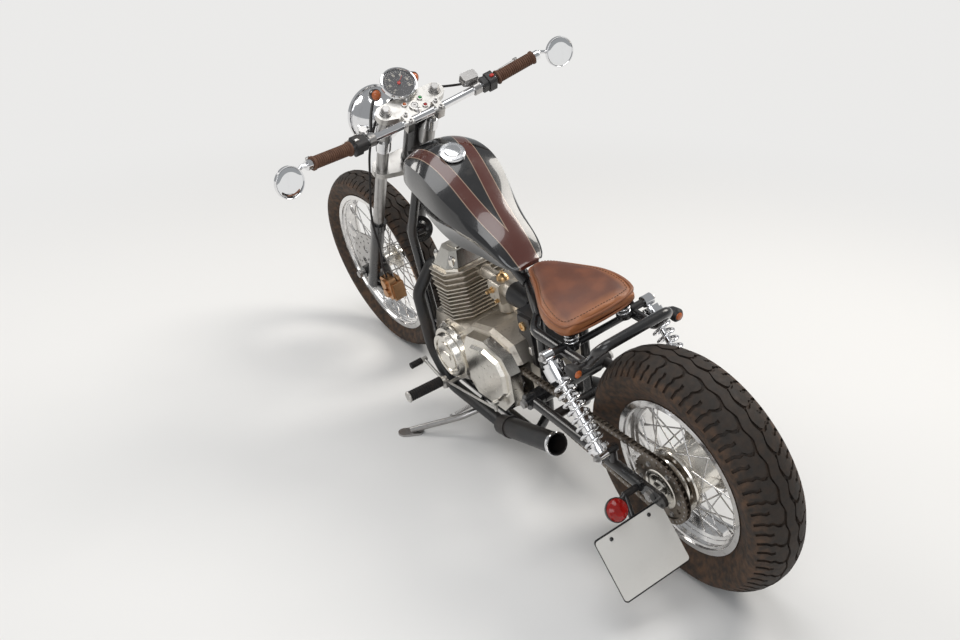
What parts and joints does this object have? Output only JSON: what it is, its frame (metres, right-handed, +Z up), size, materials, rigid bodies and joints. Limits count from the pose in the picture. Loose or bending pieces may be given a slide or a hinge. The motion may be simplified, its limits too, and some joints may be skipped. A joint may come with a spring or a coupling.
{
  "type": "light cruiser motorcycle",
  "caption": "Light cruiser motorcycle with spoked wheels, finned engine, solo saddle and low bar, leaning on its side stand.",
  "frame": {"origin": "middle of the underside of the whole machine as it is parked, on the floor", "axes": "+X forward, +Y to the machine's left, +Z up; the machine leans to +Y on its side stand"},
  "size_m": [2.083, 0.9286, 1.0975],
  "materials": {
    "gloss_black": "gloss black paint with brown stripes",
    "black_frame": "satin black frame paint",
    "black_engine": "heat-proof satin black",
    "black_paint": "gloss black",
    "steel": "plain steel",
    "chrome": "bright chrome",
    "polished_alloy": "polished alloy",
    "cast_alloy": "cast alloy",
    "leather": "brown saddle leather",
    "plastic": "matte black plastic",
    "grip_rubber": "ribbed brown rubber",
    "tyre_rubber": "treaded black rubber, dusty",
    "plate_white": "plain white plate",
    "red_lens": "red ribbed lens"
  },
  "bodies": {
    "frame": {"frame_tubes": "black_frame", "rack_bosses": "black_frame", "swingarm": "black_frame", "rear_axle": "steel", "shock_bodies": "chrome", "shock_springs": "chrome", "fuel_tank": "gloss_black", "fuel_cap": "chrome", "seat": "leather", "seat_pan": "steel", "seat_springs": "chrome", "crankcase": "black_engine", "cylinder_barrel": "black_engine", "cylinder_head": "black_engine", "rocker_cover": "polished_alloy", "alternator_cover": "polished_alloy", "sprocket_cover": "polished_alloy", "clutch_cover": "polished_alloy", "carburettor": "cast_alloy", "air_filter": "plastic", "battery_box": "black_engine", "exhausts": "chrome", "chain": "steel", "front_sprocket": "steel", "horn": "black_paint", "foot_controls": "polished_alloy", "number_plate": "plate_white", "plate_bracket": "black_frame", "tail_lamp": "red_lens", "turn_signals": "black_paint"},
    "rear_wheel": {"rear_tyre": "tyre_rubber", "rear_rim": "chrome", "rear_hub": "polished_alloy", "rear_spokes": "chrome", "rear_sprocket": "steel", "sprocket_ring": "polished_alloy"},
    "side_stand": {"side_stand": "black_frame"},
    "fork": {"yokes": "polished_alloy", "fork_stanchions": "polished_alloy", "fork_sliders": "black_paint", "front_axle": "steel", "handlebar": "chrome", "bar_clamps": "polished_alloy", "grips": "grip_rubber", "switchgear": "plastic", "levers": "steel", "mirrors": "chrome", "headlight": "chrome", "gauge": "chrome", "brake_caliper": "black_paint"},
    "front_wheel": {"front_tyre": "tyre_rubber", "front_rim": "chrome", "front_hub": "polished_alloy", "front_spokes": "chrome", "brake_disc": "steel"}
  },
  "joints": [
    {"name": "steering", "type": "hinge", "parent": "frame", "child": "fork", "pos_m": [0.32935, -0.02132, 0.84048], "axis": [-0.5075, 0.1897, 0.8405], "range_deg": [-40.66, 35.34]},
    {"name": "front_wheel_spin", "type": "hinge", "parent": "fork", "child": "front_wheel", "pos_m": [0.72682, -0.13841, 0.30791], "axis": [-0.04, 0.9692, -0.2429], "continuous": true},
    {"name": "rear_wheel_spin", "type": "hinge", "parent": "frame", "child": "rear_wheel", "pos_m": [-0.73111, -0.14218, 0.30509], "axis": [0, 0.9755, -0.2202], "continuous": true},
    {"name": "side_stand_fold", "type": "hinge", "parent": "frame", "child": "side_stand", "pos_m": [0.06889, -0.08663, 0.09699], "axis": [0.1203, 0.4096, 0.9043], "range_deg": [0, 88]}
  ]
}
